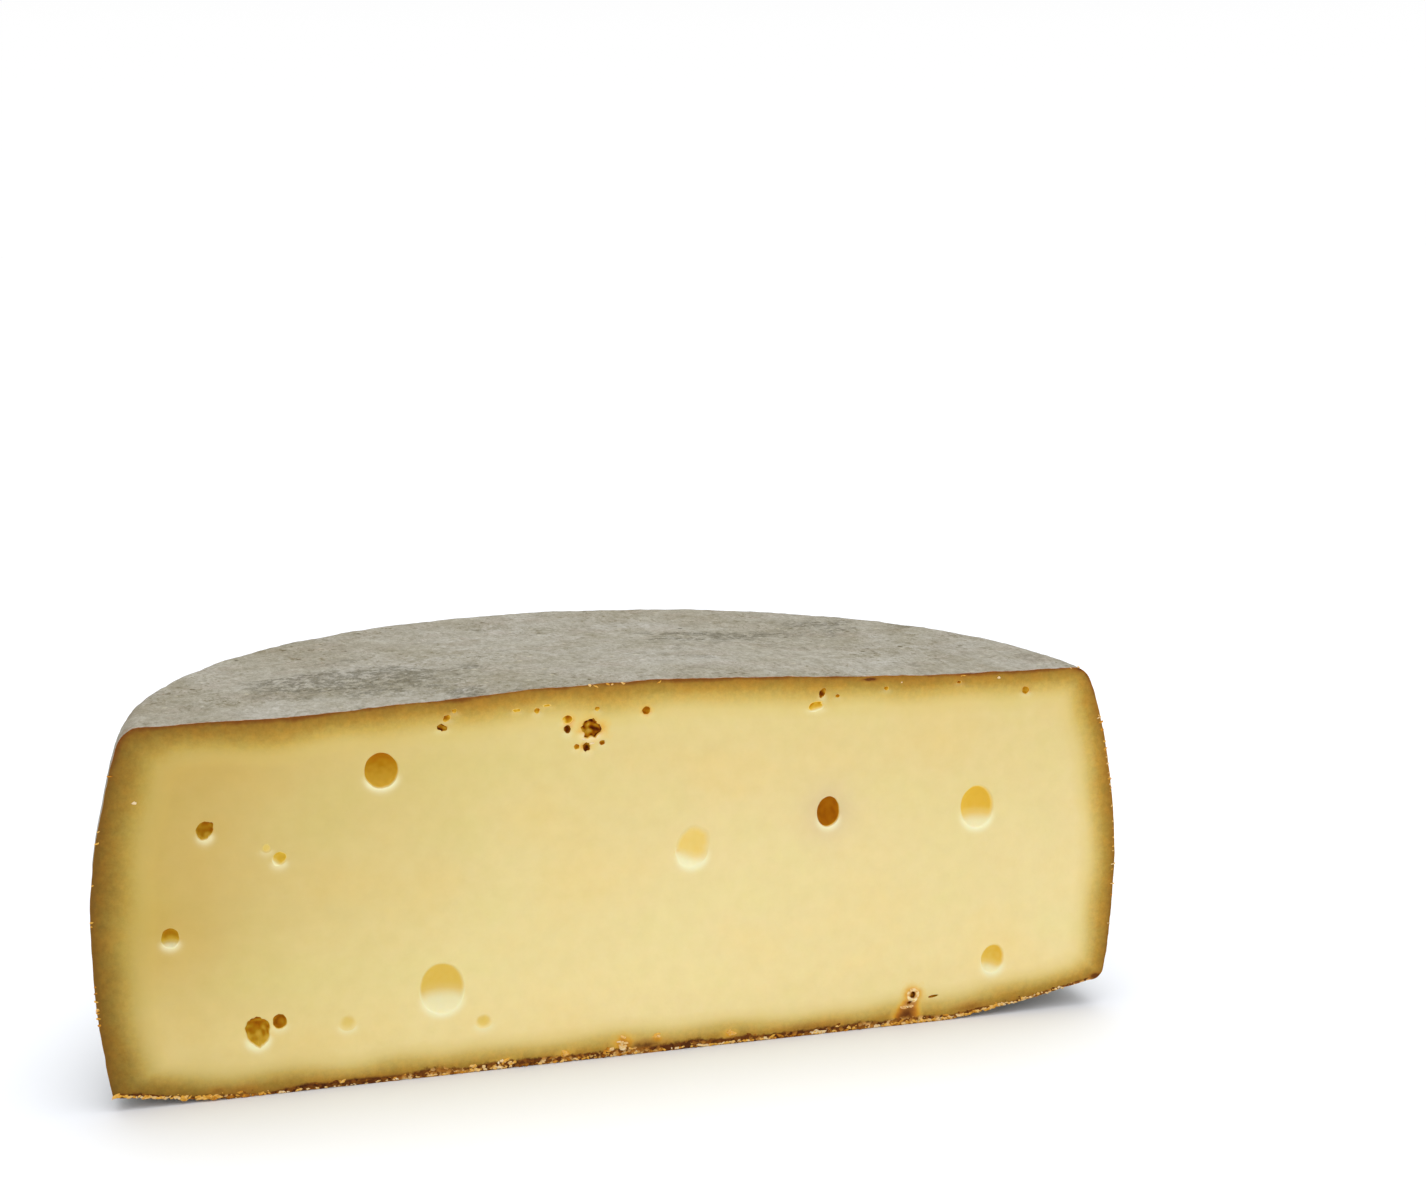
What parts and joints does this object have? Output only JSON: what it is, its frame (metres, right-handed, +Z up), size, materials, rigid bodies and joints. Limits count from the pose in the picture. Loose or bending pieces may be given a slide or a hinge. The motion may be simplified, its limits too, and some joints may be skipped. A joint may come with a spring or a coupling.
{
  "type": "half cheese wheel",
  "caption": "Half of a natural-rind cheese wheel lying on its flat base, with bulged side, domed top and a straight cut face showing pale paste with eyes.",
  "frame": {"origin": "on the flat of the base, in the middle of the half's length and depth", "axes": "+X along the cut edge, +Y away from the cut face towards the round back, +Z up"},
  "size_m": [0.2999, 0.1508, 0.1107],
  "materials": {
    "cheese": "pale yellow paste on the cut, smooth and slightly moist; dull grey natural rind elsewhere"
  },
  "bodies": {
    "root": {"half_wheel": "cheese"}
  },
  "joints": []
}
